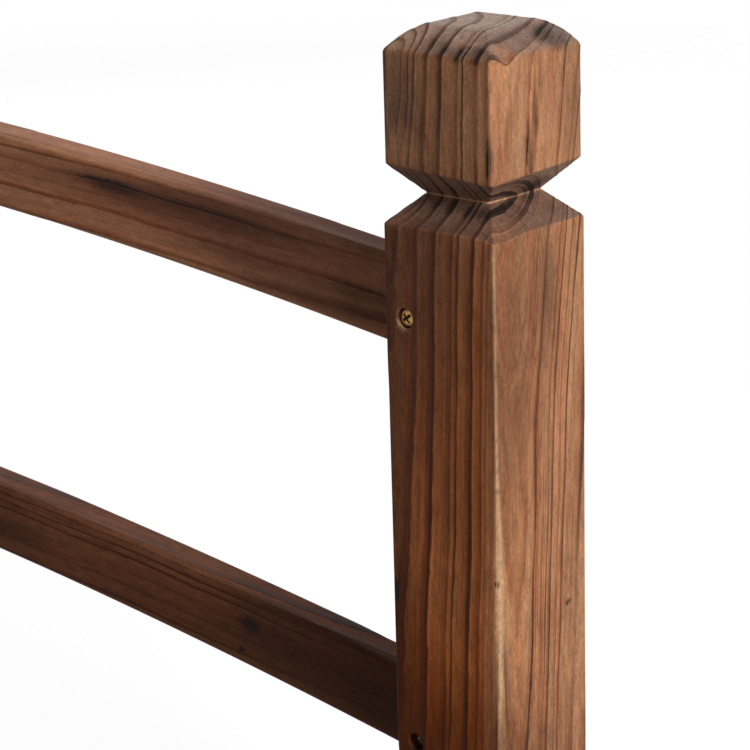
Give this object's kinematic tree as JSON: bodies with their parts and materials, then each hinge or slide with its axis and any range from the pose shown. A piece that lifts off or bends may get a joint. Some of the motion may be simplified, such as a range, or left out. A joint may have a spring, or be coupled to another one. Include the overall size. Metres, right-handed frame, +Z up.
{
  "type": "garden bridge railing",
  "caption": "Arched wooden side railing of a small garden bridge: square end posts with carved block caps carry arched rails in mortises, each locked by a screw.",
  "frame": {"origin": "centre of the bottom face of the right post's foot, seen from the side of the screw heads", "axes": "+X along the railing from the left post to the right post, +Y from the screw heads' side to the back, +Z up"},
  "size_m": [1.5, 0.07, 0.55],
  "materials": {
    "post_wood": "carbonised softwood, brushed, matte",
    "rail_wood": "carbonised softwood, brushed, matte",
    "screw_metal": "yellow zinc, dull"
  },
  "bodies": {
    "root": {"right_post": "post_wood", "left_post": "post_wood", "top_rail": "rail_wood", "lower_rail": "rail_wood", "right_top_screw": "screw_metal", "right_lower_screw": "screw_metal", "left_top_screw": "screw_metal", "left_lower_screw": "screw_metal"}
  },
  "joints": []
}
